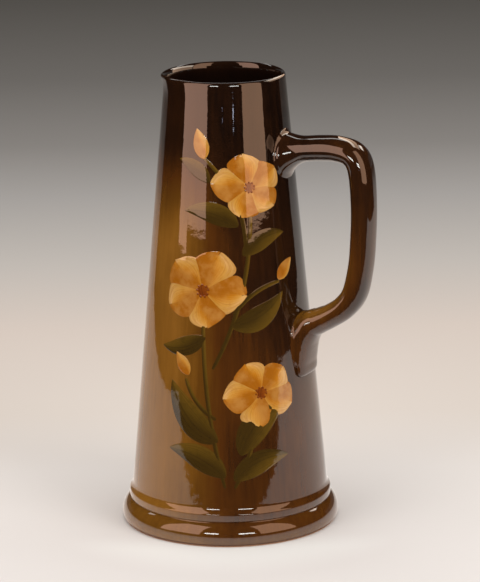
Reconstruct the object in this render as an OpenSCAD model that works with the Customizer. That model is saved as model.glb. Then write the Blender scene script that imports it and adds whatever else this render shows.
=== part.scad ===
// Tall tapered pouring jug of glazed earthenware, with a moulded foot, a pinched lip and a
// squared loop handle. The origin is the middle of the foot, on the table. +Z is up and the
// handle stands out along +X. Every outer size is taken on the glazed surface.

/* [Body] */
// Height of the rim above the table
jug_h = 254; // [200:1:320]
// Diameter of the circle that the crest of the rim runs on
crest_d = 63.4; // [52:0.2:78]
// Radius of the rounded edge of the rim, half the thickness of the wall there
rim_round_r = 1.6; // [1.2:0.1:2.2]
// Diameter of the wall where it rises from the bead of the foot
wall_low_d = 110; // [96:0.5:124]
// Thickness of the wall down there
wall_low_t = 5.2; // [4:0.1:8]
// Height of the floor inside above the table
floor_t = 7; // [5:0.1:12]
// Radius of the corner between the inner wall and the floor
inner_round_r = 9; // [4:0.5:14]

/* [Foot] */
// How far the roll of the foot stands out past the wall
roll_stand = 5.8; // [4:0.1:9]
// Radius of the roll in section
roll_r = 10; // [9:0.1:13]
// Height of the widest line of the roll
roll_z = 4.4; // [2:0.1:6]
// Height of the groove between the roll and the bead
groove_z = 12.8; // [10:0.1:14]
// How far the bead stands out past the wall
bead_stand = 1.7; // [1.3:0.1:3.5]
// Radius of the edges of the bead
bead_round_r = 1.2; // [0.8:0.1:1.6]
// Height of the upright face of the bead between its two rounded edges
bead_face_h = 3.2; // [2:0.1:6]
// Radius of the hollow curve from the bead up into the wall
cove_r = 6; // [3:0.5:10]
// Diameter of the shallow recess under the foot
recess_d = 92; // [60:1:96]
// Depth of that recess
recess_h = 1.5; // [0.8:0.1:3]
// Height of the band at the bottom of the foot that is left without glaze
bare_h = 1.6; // [1.2:0.1:3]

/* [Lip] */
// How far the pouring lip is pulled out past the rim
lip_reach = 2.7; // [1.5:0.1:5]
// Height of the wall that the lip is pulled out of
lip_fall = 28; // [16:1:40]
// Angle from the middle of the lip to its edge, in degrees
lip_half_turn = 24; // [16:1:34]
// Direction of the lip, counted from the handle, in degrees
lip_turn = 213; // [120:1:240]

/* [Handle] */
// Distance from the axis of the jug to the middle of the grip
grip_r = 82.7; // [74:0.1:100]
// How far the middle of the upper arm lies below the rim
handle_drop = 37.4; // [28:0.2:60]
// Height of the tip of the tail that lies down the wall
handle_low_z = 87.5; // [60:0.5:110]
// Width of the strap, across the line of the handle
handle_w = 19.5; // [14:0.1:26]
// Thickness of the strap
handle_t = 13; // [9:0.1:16]
// Length of the luting clay along the handle
luting_len = 13; // [9:0.5:18]
// How far the luting clay swells on each side of the upper root
upper_side_swell = 2.9; // [1:0.1:4]
// How far it swells under the upper root
upper_inner_swell = 8; // [3:0.1:10]
// How far it swells on top of the upper root
upper_outer_swell = 2.2; // [1:0.1:4]
// How far the luting clay swells on each side of the lower root
lower_side_swell = 1.8; // [1:0.1:4]
// How far it swells on top of the lower root
lower_inner_swell = 6; // [3:0.1:8]
// How far it swells beneath the lower root
lower_outer_swell = 1; // [0.6:0.1:3]

/* [Coats] */
// Thickness of the glaze
glaze_t = 0.4; // [0.3:0.05:0.6]
// How far the painted slip, with the glaze over it, stands out past the glazed wall
slip_stand = 0.35; // [0.1:0.05:0.8]

/* [Spray] */
// Direction of the middle of the painted spray, counted from the handle, in degrees
spray_turn = -65; // [-90:1:-40]
// Diameter of the largest blossom
blossom_d = 46; // [34:0.5:48]
// Length of the largest bud
bud_len = 17; // [12:0.5:22]
// Width of that bud
bud_w = 9; // [6:0.5:12]
// Diameter of the middle of a blossom
blossom_middle_d = 9; // [6:0.5:12]
// Length of the longest leaf
leaf_len = 44; // [34:1:50]
// Width of that leaf
leaf_w = 17; // [10:0.5:22]
// Width of the stems
stem_w = 2.6; // [1.8:0.1:4]

/* [Hidden] */
$fn = 96;

// Overrun of every cut, and the depth that the facets of the lip are sunk into the wall
over = 2;
sink = 0.05;

// Radii and heights of the body that follow from its sizes
wall_low_r = wall_low_d / 2;
crest_r = crest_d / 2;
bead_top_z = groove_z + 2 * bead_round_r + bead_face_h;
bead_c_r = wall_low_r + bead_stand - bead_round_r;
bead_low_c = [bead_c_r, groove_z + bead_round_r];
bead_high_c = [bead_c_r, bead_top_z - bead_round_r];
roll_c = [wall_low_r + roll_stand - roll_r, roll_z];
rim_c = [crest_r, jug_h - rim_round_r];
handle_top_z = jug_h - handle_drop;

// The outer line of the wall touches the round of the rim from outside
wall_foot = [wall_low_r, bead_top_z];
wall_dir = tangent_dir(wall_foot, rim_c, rim_round_r, -1);
wall_out = [sin(wall_dir), -cos(wall_dir)];

// The inner line of the wall touches the same round from inside
bore_foot = [wall_low_r - wall_low_t, bead_top_z];
bore_dir = tangent_dir(bore_foot, rim_c, rim_round_r, 1);
bore_out = [sin(bore_dir), -cos(bore_dir)];
corner_z = floor_t + inner_round_r;
corner_c = [line_r(bore_foot, bore_out, corner_z) - inner_round_r / bore_out[0], corner_z];

// The cove touches the upper round of the bead and the wall
cove_gap = cove_r - (bead_high_c - wall_foot) * wall_out;
cove_turn = wall_dir - 90 + acos(cove_gap / (cove_r + bead_round_r));
cove_c = bead_high_c + (cove_r + bead_round_r) * [cos(cove_turn), sin(cove_turn)];

// Steps of the rounded stretches of the outline, and of the lip round the rim and down the wall
arc_steps = 8;
lip_steps = 14;
lip_rows = 7;
lip_low_z = jug_h - lip_fall;
lip_core_r = crest_r / 2;

// Where the round of the bead starts above the groove, in degrees
bead_start_turn = -70;

// Direction in which a line from p touches the circle of radius r round c, on the side given
function tangent_dir(p, c, r, side) = atan2(c[1] - p[1], c[0] - p[0]) + side * asin(r / norm(c - p));

// Radius at height z of the line through p whose outward direction is out
function line_r(p, out, z) = p[0] - (z - p[1]) * out[1] / out[0];

// Radius of the glazed wall at height z
function wall_r(z) = line_r(wall_foot, wall_out, z);

// Points along the arc round c of radius r, from one angle to the other
function arc(c, r, from, to) =
    [for (k = [0 : arc_steps]) let (turn = from + (to - from) * k / arc_steps)
        c + r * [cos(turn), sin(turn)]];

// Outline of the jug without its hollow, a depth inside the glazed surface. The roll is cut at a
// height where its arc has come round to a turn.
function roll_turn(z, depth) = asin((z - roll_z) / (roll_r - depth));
function outer_outline(depth) = concat(
    [[0, 0]],
    arc(roll_c, roll_r - depth, roll_turn(0, depth), roll_turn(groove_z, depth)),
    arc(bead_low_c, bead_round_r - depth, bead_start_turn, 0),
    arc(bead_high_c, bead_round_r - depth, 0, cove_turn),
    arc(cove_c, cove_r + depth, cove_turn + 180, wall_dir + 90),
    arc(rim_c, rim_round_r - depth, wall_dir - 90, 90),
    [[0, jug_h - depth]]);

// Outline of the hollow, grown by the same depth into the wall
function hollow_outline(depth) = concat(
    [[0, floor_t - depth]],
    arc(corner_c, inner_round_r + depth, -90, bore_dir - 90),
    arc(rim_c, rim_round_r - depth, bore_dir + 90, 90),
    [[crest_r, jug_h + over], [0, jug_h + over]]);

// Share of the lip's reach at a turn from its middle, and at a height
function lip_side(turn) = pow(cos(90 * turn / lip_half_turn), 2);
function lip_rise(z) = let (t = (z - lip_low_z) / (jug_h - lip_low_z)) t * t * (3 - 2 * t);
function lip_bump(turn, z) = lip_reach * lip_side(turn) * lip_rise(z);

// A point of a section through the lip, turned to its place round the axis
function lip_point(p, turn, z) =
    let (r = p[0] + lip_bump(turn, z)) [r * cos(lip_turn + turn), r * sin(lip_turn + turn), p[1]];
function lip_height(k) = lip_low_z + (rim_c[1] - lip_low_z) * k / lip_rows;
function lip_angle(k) = lip_half_turn * (2 * k / lip_steps - 1);

// Section of the pulled lip's solid, and of the channel inside it
function lip_section(turn, depth) = concat(
    [lip_point([lip_core_r, lip_low_z], turn, lip_low_z)],
    [for (k = [0 : lip_rows - 1]) let (z = lip_height(k))
        lip_point([wall_r(z) - (depth + sink) / wall_out[0], z], turn, z)],
    [for (p = arc(rim_c, rim_round_r - depth - sink, wall_dir - 90, 90)) lip_point(p, turn, jug_h)],
    [lip_point([lip_core_r, jug_h - depth - sink], turn, lip_low_z)]);
function channel_section(turn, depth) = concat(
    [lip_point([lip_core_r, jug_h + 2 * over], turn, lip_low_z)],
    [lip_point([lip_core_r, lip_low_z], turn, lip_low_z)],
    [for (k = [0 : lip_rows - 1]) let (z = lip_height(k))
        lip_point([line_r(bore_foot, bore_out, z) + depth / bore_out[0] - sink, z], turn, z)],
    [for (p = arc(rim_c, rim_round_r - depth, bore_dir + 90, 90)) lip_point(p - [sink, 0], turn, jug_h)],
    [lip_point([crest_r - sink, jug_h + 2 * over], turn, jug_h)]);

// The handle's middle line, from inside the upper wall to the tip of its tail. Each row holds
// shares: of the way from the wall out to the grip, of the height from the tail's tip up to the
// upper arm, of the strap's width, and of its thickness.
handle_shares = [
    [-0.060, 0.981, 1.00, 1.00], [0.040, 0.984, 1.00, 1.00], [0.180, 0.988, 1.00, 1.00],
    [0.465, 0.998, 1.00, 1.00], [0.674, 0.998, 1.00, 1.00], [0.865, 0.976, 1.00, 1.00],
    [0.958, 0.912, 1.00, 1.00], [0.998, 0.758, 1.00, 1.00], [0.986, 0.603, 1.00, 1.00],
    [0.955, 0.498, 1.00, 1.00], [0.872, 0.372, 1.00, 1.00], [0.687, 0.318, 1.00, 1.00],
    [0.458, 0.273, 1.02, 0.98], [0.280, 0.238, 1.08, 0.94], [0.110, 0.180, 1.20, 0.80],
    [0.004, 0.098, 1.28, 0.42], [-0.030, 0.030, 1.15, 0.28], [-0.040, 0.000, 0.90, 0.14]];
handle_steps = 3;
handle_sides = 20;
station_last = len(handle_shares) - 1;
ring_last = station_last * handle_steps;

// One station of the handle: distance from the axis, height, width and thickness
function station(k) =
    let (row = handle_shares[min(max(k, 0), station_last)])
    let (z = handle_low_z + row[1] * (handle_top_z - handle_low_z))
    [wall_r(z) + row[0] * (grip_r - wall_r(z)), z, handle_w * row[2], handle_t * row[3]];

// Smooth curve through four values that follow each other, from the second to the third
function smooth(a, b, c, d, t) =
    b + t / 2 * (c - a + t * (2 * a - 5 * b + 4 * c - d + t * (3 * (b - c) + d - a)));
function handle_at(k) =
    let (s = min(floor(k / handle_steps), station_last - 1), t = k / handle_steps - s)
    smooth(station(s - 1), station(s), station(s + 1), station(s + 2), t);
handle_line = [for (k = [0 : ring_last]) handle_at(k)];

// Direction of the middle line at a ring, and the direction out of the loop, square to it
function handle_dir(k) =
    let (a = handle_line[max(k - 1, 0)], b = handle_line[min(k + 1, ring_last)])
    [b[0] - a[0], b[1] - a[1]] / norm([b[0] - a[0], b[1] - a[1]]);
function loop_out(k) = let (d = handle_dir(k)) [-d[1], d[0]];

// How much of the luting clay's swell is left at a ring: all at the wall, none its length away.
// The upper root counts up from the first ring, and the lower root down from the ring where
// the tail lies on the wall. The solid ends a share of that length out, before it gets too thin.
luting_end_share = 0.9;
function wall_gap(k) = handle_line[k][0] - wall_r(handle_line[k][1]);
function swell(k) = pow(1 - min(max(wall_gap(k), 0), luting_len) / luting_len, 2);
luting_end_gap = luting_len * luting_end_share;
ring_middle = floor(ring_last / 2);
upper_first = 0;
upper_last = max([for (k = [0 : ring_middle]) if (wall_gap(k) < luting_end_gap) k]);
lower_first = min([for (k = [ring_middle : ring_last]) if (wall_gap(k) < luting_end_gap) k]);
lower_last = ring_last - 2 * handle_steps;
function fade(k) = k > lower_last ? 0 : min(1, (lower_last + 1 - k) / handle_steps);

// Swell at a ring to the side, into the loop and out of it
function ring_swell(k) =
    k <= upper_last ? swell(k) * [upper_side_swell, upper_inner_swell, upper_outer_swell]
    : k >= lower_first ? swell(k) * fade(k) * [lower_side_swell, lower_inner_swell, lower_outer_swell]
    : [0, 0, 0];

// Oval ring round the middle line, shrunk by a depth and grown by a share of the swell there
function handle_ring(k, depth, swell_share) =
    let (p = handle_line[k], out = loop_out(k), s = ring_swell(k) * swell_share)
    let (half_w = max(p[2] / 2 - depth, sink) + s[0])
    let (half_t = max(p[3] / 2 - depth, sink) + (s[1] + s[2]) / 2)
    let (mid = [p[0], p[1]] + (s[2] - s[1]) / 2 * out)
    [for (j = [0 : handle_sides - 1]) let (a = 360 * j / handle_sides, q = mid + half_t * cos(a) * out)
        [q[0], half_w * sin(a), q[1]]];

// Solid through a row of rings, closed by flat ends
module loft(rings) {
    m = len(rings[0]);
    last = len(rings) - 1;
    polyhedron(
        points = [for (ring = rings) each ring],
        faces = concat(
            [for (j = [0 : last - 1], k = [0 : m - 1]) [j * m + k, j * m + (k + 1) % m, (j + 1) * m + k]],
            [for (j = [0 : last - 1], k = [0 : m - 1])
                [j * m + (k + 1) % m, (j + 1) * m + (k + 1) % m, (j + 1) * m + k]],
            [for (k = [1 : m - 2]) [0, k + 1, k]],
            [for (k = [1 : m - 2]) [last * m, last * m + k, last * m + k + 1]]));
}

// Sleeve between two rows of rings, open along its middle
module sleeve(outer, inner) {
    m = len(outer[0]);
    last = len(outer) - 1;
    n = (last + 1) * m;
    polyhedron(
        points = concat([for (ring = outer) each ring], [for (ring = inner) each ring]),
        faces = concat(
            [for (j = [0 : last - 1], k = [0 : m - 1]) [j * m + k, j * m + (k + 1) % m, (j + 1) * m + k]],
            [for (j = [0 : last - 1], k = [0 : m - 1])
                [j * m + (k + 1) % m, (j + 1) * m + (k + 1) % m, (j + 1) * m + k]],
            [for (j = [0 : last - 1], k = [0 : m - 1])
                [n + j * m + (k + 1) % m, n + j * m + k, n + (j + 1) * m + k]],
            [for (j = [0 : last - 1], k = [0 : m - 1])
                [n + (j + 1) * m + (k + 1) % m, n + j * m + (k + 1) % m, n + (j + 1) * m + k]],
            [for (k = [0 : m - 1]) [k, n + k, (k + 1) % m]],
            [for (k = [0 : m - 1]) [(k + 1) % m, n + k, n + (k + 1) % m]],
            [for (k = [0 : m - 1]) [last * m + k, last * m + (k + 1) % m, n + last * m + k]],
            [for (k = [0 : m - 1]) [last * m + (k + 1) % m, n + last * m + (k + 1) % m, n + last * m + k]]));
}

// The jug without its hollow, and the hollow, each a depth into the glaze and the wall
module wall_solid(depth) {
    rotate_extrude() polygon(outer_outline(depth));
}

module outer_solid(depth) {
    wall_solid(depth);
    loft([for (k = [0 : lip_steps]) lip_section(lip_angle(k), depth)]);
}

module hollow_solid(depth) {
    rotate_extrude() polygon(hollow_outline(depth));
    loft([for (k = [0 : lip_steps]) channel_section(lip_angle(k), depth)]);
}

// The strap of clay as rings, without luting (0) or with it (1)
module strap(depth, swell_share) {
    loft([for (k = [0 : ring_last]) handle_ring(k, depth, swell_share)]);
}

module luting(first, last) {
    difference() {
        sleeve(
            [for (k = [first : last]) handle_ring(k, glaze_t, 1)],
            [for (k = [first : last]) handle_ring(k, glaze_t, 0)]);
        wall_solid(glaze_t);
    }
}

// The painted spray. Every row starts with the turn of its middle from the middle of the spray,
// its height as a share of the jug's, and its lean to the right, with both angles in degrees.
// Blossoms end with a share of the largest size and with how round they look, buds with a share
// of the bud's length.
blossom_shares = [
    [19, 0.776, 24, 0.84, 0.92],
    [-18, 0.555, -12, 1.00, 0.94],
    [21, 0.331, 10, 0.92, 0.90]];
bud_shares = [
    [-22, 0.870, -16, 1.00],
    [-32, 0.394, -34, 0.86],
    [47, 0.591, 48, 0.90]];
// Leaves end with a share of the longest leaf, and stems with a share of the jug's height. Both
// add their bend to the right as a share of their own length.
leaf_shares = [
    [-23, 0.291, -41, 0.97, -0.10], [24, 0.256, 46, 0.98, -0.12], [22, 0.512, 63, 0.80, 0.12],
    [30, 0.650, 69, 0.64, -0.12], [-33, 0.441, -106, 0.64, -0.10], [-13, 0.709, -75, 0.70, 0.13],
    [-21, 0.177, -67, 0.82, 0.12], [20, 0.165, 70, 0.78, -0.12], [-28, 0.811, -58, 0.50, 0.10]];
stem_shares = [
    [10.5, 0.220, 17, 0.197, 0.06], [-9.4, 0.329, -6.6, 0.408, -0.04], [2.6, 0.567, 13.4, 0.372, 0.07],
    [-2, 0.736, -23, 0.231, 0.12], [22, 0.535, 60, 0.126, -0.12], [-18.6, 0.319, -39, 0.110, -0.10]];
petals = 5;
notch_share = 0.34;
notch_power = 3;
outline_steps = 60;
blade_steps = 10;
fullness_share = 0.8;

// A flat outline laid against the wall at the place that a row gives, as a prism through it
module on_wall(row) {
    rotate([0, 0, spray_turn + row[0]])
        translate([0, 0, row[1] * jug_h])
            rotate([90, 0, 90])
                linear_extrude(wall_low_r + over)
                    rotate(-row[2])
                        children();
}

// Scalloped outline of an open blossom
module blossom_outline(size, round_share) {
    polygon([for (k = [0 : outline_steps - 1])
        let (a = 360 * k / outline_steps)
        let (r = size / 2 * (1 - notch_share * pow(abs(cos(petals * a / 2)), notch_power)))
        [r * cos(a), round_share * r * sin(a)]]);
}

// Middle line and half width of a blade, from its root at t = 0 to its tip at t = 1
function blade_mid(t, size, bend) = [4 * bend * size * t * (1 - t), size * (t - 1 / 2)];
function blade_half(t, wide) = wide / 2 * pow(sin(180 * pow(t, fullness_share)), fullness_share);

// Outline of a leaf or a bud, which runs up to a point and bends to the side
module blade_outline(size, wide, bend) {
    polygon(concat(
        [for (k = [0 : blade_steps]) let (t = k / blade_steps)
            blade_mid(t, size, bend) - [blade_half(t, wide), 0]],
        [for (k = [1 : blade_steps - 1]) let (t = 1 - k / blade_steps)
            blade_mid(t, size, bend) + [blade_half(t, wide), 0]]));
}

// Outline of a stem of one width
module stem_outline(size, wide, bend) {
    polygon(concat(
        [for (k = [0 : blade_steps]) blade_mid(k / blade_steps, size, bend) - [wide / 2, 0]],
        [for (k = [0 : blade_steps]) blade_mid(1 - k / blade_steps, size, bend) + [wide / 2, 0]]));
}

module blossom_prisms() {
    for (row = blossom_shares) on_wall(row) blossom_outline(blossom_d * row[3], row[4]);
    for (row = bud_shares) on_wall(row) blade_outline(bud_len * row[3], bud_w * row[3], 0);
}

module blossom_middle_prisms() {
    for (row = blossom_shares) on_wall(row) circle(d = blossom_middle_d * row[3]);
}

module leaf_prisms() {
    for (row = leaf_shares) on_wall(row) blade_outline(leaf_len * row[3], leaf_w * row[3], row[4]);
}

module stem_prisms() {
    for (row = stem_shares) on_wall(row) stem_outline(jug_h * row[3], stem_w, row[4]);
}

// The raised layer of painted slip on the clay wall, in its windows in the glaze
module slip_layer() {
    intersection() {
        children();
        difference() {
            wall_solid(-slip_stand);
            wall_solid(glaze_t);
        }
    }
}

// Thrown clay body: wall, floor, moulded foot, rim and pulled lip in one
module body() {
    color("#8a5a3a")
    difference() {
        outer_solid(glaze_t);
        hollow_solid(glaze_t);
        translate([0, 0, -over]) cylinder(h = recess_h + over, d = recess_d);
    }
}

// Pulled strap of clay, bent to a squared loop, with a tail that lies down the wall
module handle() {
    color("#7a4a30")
    difference() {
        strap(glaze_t, 0);
        wall_solid(glaze_t);
    }
}

// Clay worked round the upper root of the handle
module upper_luting() {
    color("#9a6a48") luting(upper_first, upper_last);
}

// Clay worked round the lower root of the handle
module lower_luting() {
    color("#9a6a48") luting(lower_first, lower_last);
}

module blossom_slip() {
    color("#e0a040")
    slip_layer()
        difference() {
            blossom_prisms();
            blossom_middle_prisms();
        }
}

module blossom_middle_slip() {
    color("#8c3c10") slip_layer() blossom_middle_prisms();
}

module leaf_slip() {
    color("#5a5a20")
    slip_layer()
        difference() {
            leaf_prisms();
            blossom_prisms();
        }
}

module stem_slip() {
    color("#46481a")
    slip_layer()
        difference() {
            stem_prisms();
            leaf_prisms();
            blossom_prisms();
        }
}

// Amber-brown glaze on the outside, round the raised slip and the roots of the handle
module outside_glaze() {
    color("#5a2a12")
    difference() {
        outer_solid(0);
        outer_solid(glaze_t);
        hollow_solid(glaze_t);
        translate([0, 0, -over]) cylinder(h = bare_h + over, r = wall_low_r + 2 * roll_stand);
        blossom_prisms();
        leaf_prisms();
        stem_prisms();
        strap(glaze_t, 1);
    }
}

// Dark glaze that lines the hollow from the crest of the rim to the floor
module inside_glaze() {
    color("#2a140c")
    difference() {
        hollow_solid(glaze_t);
        hollow_solid(0);
        translate([0, 0, jug_h]) cylinder(h = 3 * over, r = wall_low_r);
    }
}

// The same glaze as on the wall, round the handle and its luting
module handle_glaze() {
    color("#4a2210")
    difference() {
        sleeve(
            [for (k = [0 : ring_last]) handle_ring(k, 0, 1)],
            [for (k = [0 : ring_last]) handle_ring(k, glaze_t, 1)]);
        wall_solid(0);
    }
}

body();
handle();
upper_luting();
lower_luting();
blossom_slip();
blossom_middle_slip();
leaf_slip();
stem_slip();
outside_glaze();
inside_glaze();
handle_glaze();
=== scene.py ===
"""Looks of a tall tapered pouring jug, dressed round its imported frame.

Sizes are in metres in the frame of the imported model: +Z runs up the axis of the jug, +X out
along its handle, and the origin is the middle of the foot. The wall is an outline carried round
the axis, the handle an oval carried along a bent line, and every stroke of the painted spray a
flat lens laid on the wall. Each is worked out as whole arrays.
"""
import logging
import math
from collections.abc import Callable
from dataclasses import dataclass, field
from enum import Enum

import bpy
import numpy as np
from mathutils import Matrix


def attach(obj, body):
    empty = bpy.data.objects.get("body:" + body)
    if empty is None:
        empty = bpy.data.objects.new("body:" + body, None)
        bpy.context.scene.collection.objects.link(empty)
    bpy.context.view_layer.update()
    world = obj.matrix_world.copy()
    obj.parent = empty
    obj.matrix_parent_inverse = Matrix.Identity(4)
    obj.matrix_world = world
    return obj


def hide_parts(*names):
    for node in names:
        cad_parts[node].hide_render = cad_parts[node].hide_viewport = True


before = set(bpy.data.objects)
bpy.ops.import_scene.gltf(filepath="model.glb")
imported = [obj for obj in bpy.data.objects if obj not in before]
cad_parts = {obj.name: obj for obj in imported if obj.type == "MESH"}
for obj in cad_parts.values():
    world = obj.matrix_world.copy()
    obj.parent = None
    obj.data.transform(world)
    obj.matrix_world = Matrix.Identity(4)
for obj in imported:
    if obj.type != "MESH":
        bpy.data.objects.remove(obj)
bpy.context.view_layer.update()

BODY = "root"
MM = 0.001
SPRAY_TURN = -65.0
SHARP_TURN = 55.0
FACING_SHARE = 0.85
LOG = logging.getLogger("jug")

Array = np.ndarray
Row = tuple[float, ...]
Stops = tuple[tuple[float, Row], ...]


class Ends(Enum):
    """How a row of rings is closed."""

    WRAP = "the last ring runs on into the first"
    POLES = "each end ring is drawn to a point"


def smooth_step(value: Array, low: float, high: float) -> Array:
    """Soft rise from 0 at low to 1 at high: t squared times (3 - 2t)."""
    t = np.clip((value - low) / (high - low), 0.0, 1.0)
    return t * t * (3.0 - 2.0 * t)


def off_turn(turn: Array, middle: float) -> Array:
    """Turns counted from a middle one, between -180 and 180 degrees."""
    return (turn - middle + 180.0) % 360.0 - 180.0


def arc(centre: Array, radius: float, start: float, end: float, steps: int = 40) -> Array:
    """Points of a round: centre plus radius times (cos, sin) of turns at even steps, in degrees."""
    turn = np.radians(np.linspace(start, end, steps + 1))
    return centre + radius * np.stack([np.cos(turn), np.sin(turn)], axis=1)


def resample(line: Array, count: Array, steps: int) -> Array:
    """Points of a line, its ends too, at even steps of a count that grows from 0 along it."""
    wanted = np.linspace(0.0, count[-1], steps + 1)
    return np.stack([np.interp(wanted, count, line[:, k]) for k in (0, 1)], axis=1)


def soften(line: Array, step: float, reach: float, widths: float = 3.0) -> Array:
    """Rounds a line's corners as running glaze does: each point becomes a bell-shaped mean.

    Past its ends the line goes on mirrored.

    Args:
        line: Points in order.
        step: Spacing of the points that come back.
        reach: Width of the bell to each side of its middle.
        widths: How many of these widths it goes on before it is cut off.

    Returns:
        The softened line, with its two ends in place.
    """
    along = np.concatenate([[0.0], np.cumsum(np.linalg.norm(np.diff(line, axis=0), axis=1))])
    points = resample(line, along, round(along[-1] / step))
    side = math.ceil(widths * reach / step)
    bell = np.exp(-0.5 * (np.arange(-side, side + 1) * step / reach) ** 2)
    padded = np.concatenate([
        2.0 * points[0] - points[side:0:-1],
        points,
        2.0 * points[-1] - points[-2:-side - 2:-1],
    ])
    return np.stack(
        [np.convolve(padded[:, k], bell / bell.sum(), mode="valid") for k in range(2)], axis=1)


def through(values: Array, places: Array) -> Array:
    """Smooth curve through rows of values, a cubic between each two rows that follow each other.

    Args:
        values: One row of numbers for each station.
        places: Where to read the curve, counted in stations.

    Returns:
        One row for each place.
    """
    last = len(values) - 1
    first = np.clip(np.floor(places).astype(int), 0, last - 1)
    t = (places - first)[:, None]
    a, b, c, d = (values[np.clip(first + k, 0, last)] for k in (-1, 0, 1, 2))
    bend = 2.0 * a - 5.0 * b + 4.0 * c - d + t * (3.0 * (b - c) + d - a)
    return b + t / 2.0 * (c - a + t * bend)


def linked(name: str, data: bpy.types.ID) -> bpy.types.Object:
    """Makes an object and links it to the scene.

    Args:
        name: Its name.
        data: Its mesh, light or camera.

    Returns:
        The new object.
    """
    thing = bpy.data.objects.new(name, data)
    bpy.context.scene.collection.objects.link(thing)
    return thing


def flat_mesh(name: str, corners: list[Row]) -> bpy.types.Mesh:
    """Makes a mesh of one face.

    Args:
        name: Its name.
        corners: The corners of the face in order.

    Returns:
        The new mesh.
    """
    mesh = bpy.data.meshes.new(name)
    mesh.from_pydata(corners, [], [tuple(range(len(corners)))])
    return mesh


def ring_piece(
    name: str, rings: Array, ends: Ends, across: Array | None = None, tones: dict | None = None,
    facing: Array | None = None,
) -> bpy.types.Object:
    """Makes closed skins out of rings of points: quads between rings, fans at the poles.

    Args:
        name: Name of the piece.
        rings: Points as an array of skins, rings, points round a ring, and 3.
        ends: How each skin is closed.
        across: The piece's own flat coordinates, 2 for each point of rings, or nothing.
        tones: Named values, one for each point of rings, that its finish reads.
        facing: Directions that the shading leans to, one for each point of rings, or nothing.

    Returns:
        The new object, at the origin, with its faces turned outwards.
    """
    skins, rows, sides, _ = rings.shape
    points = rings.reshape(-1, 3)
    index = np.arange(skins * rows * sides).reshape(skins, rows, sides)
    lower = index if ends is Ends.WRAP else index[:, :-1]
    upper = np.roll(index, -1, axis=1) if ends is Ends.WRAP else index[:, 1:]
    quads = np.stack(
        [lower, np.roll(lower, -1, axis=2), np.roll(upper, -1, axis=2), upper], axis=-1)
    quads = quads.reshape(-1, 4)
    fans = np.zeros((0, 3), int)
    if ends is Ends.POLES:
        poles = len(points) + np.arange(2 * skins).reshape(skins, 2, 1)
        points = np.concatenate([points, rings[:, [0, -1]].mean(axis=2).reshape(-1, 3)])
        first, last = index[:, 0], index[:, -1]
        tops = poles[:, 0] + 0 * first
        feet = poles[:, 1] + 0 * last
        fans = np.concatenate([
            np.stack([tops, np.roll(first, -1, axis=1), first], axis=-1).reshape(-1, 3),
            np.stack([feet, last, np.roll(last, -1, axis=1)], axis=-1).reshape(-1, 3)])
    halves = np.concatenate([quads[:, :3], quads[:, [0, 2, 3]], fans])
    corner = points[halves]
    if np.einsum("ij,ij->", corner[:, 0], np.cross(corner[:, 1], corner[:, 2])) < 0:
        quads, fans = quads[:, ::-1], fans[:, ::-1]
    mesh = bpy.data.meshes.new(name)
    mesh.from_pydata(points.tolist(), [], quads.tolist() + fans.tolist())
    spread = _pole_means(ends, skins)
    if across is not None:
        flat = spread(across)
        owner = np.zeros(len(mesh.loops), np.int32)
        mesh.loops.foreach_get("vertex_index", owner)
        layer = mesh.uv_layers.new(name="stroke")
        layer.data.foreach_set("uv", flat[owner].astype(np.float32).ravel())
    for tone, values in (tones or {}).items():
        attribute = mesh.attributes.new(tone, "FLOAT", "POINT")
        attribute.data.foreach_set("value", spread(values[..., None]).astype(np.float32).ravel())
    mesh.shade_smooth()
    mesh.update()
    if facing is None:
        mesh.set_sharp_from_angle(angle=math.radians(SHARP_TURN))
    else:
        own = np.zeros(3 * len(mesh.vertices), np.float32)
        mesh.vertices.foreach_get("normal", own)
        leant = own.reshape(-1, 3) * (1.0 - FACING_SHARE) + spread(facing) * FACING_SHARE
        leant /= np.linalg.norm(leant, axis=1)[:, None]
        mesh.normals_split_custom_set_from_vertices(leant.tolist())
    return linked(name, mesh)


def _pole_means(ends: Ends, skins: int) -> Callable[[Array], Array]:
    """Gives the function that lists values point by point, with the poles' means at the end.

    Args:
        ends: How each skin is closed.
        skins: Number of skins.

    Returns:
        A function from an array of skins, rings, points and values to one of points and values.
    """
    def spread(values: Array) -> Array:
        """Lists values in the order of the mesh's points.

        Args:
            values: An array of skins, rings, points and values.

        Returns:
            One row of values for each point of the mesh.
        """
        rows = values.reshape(-1, values.shape[-1])
        if ends is Ends.WRAP:
            return rows
        means = values[:, [0, -1]].mean(axis=2).reshape(2 * skins, -1)
        return np.concatenate([rows, means])
    return spread


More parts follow.
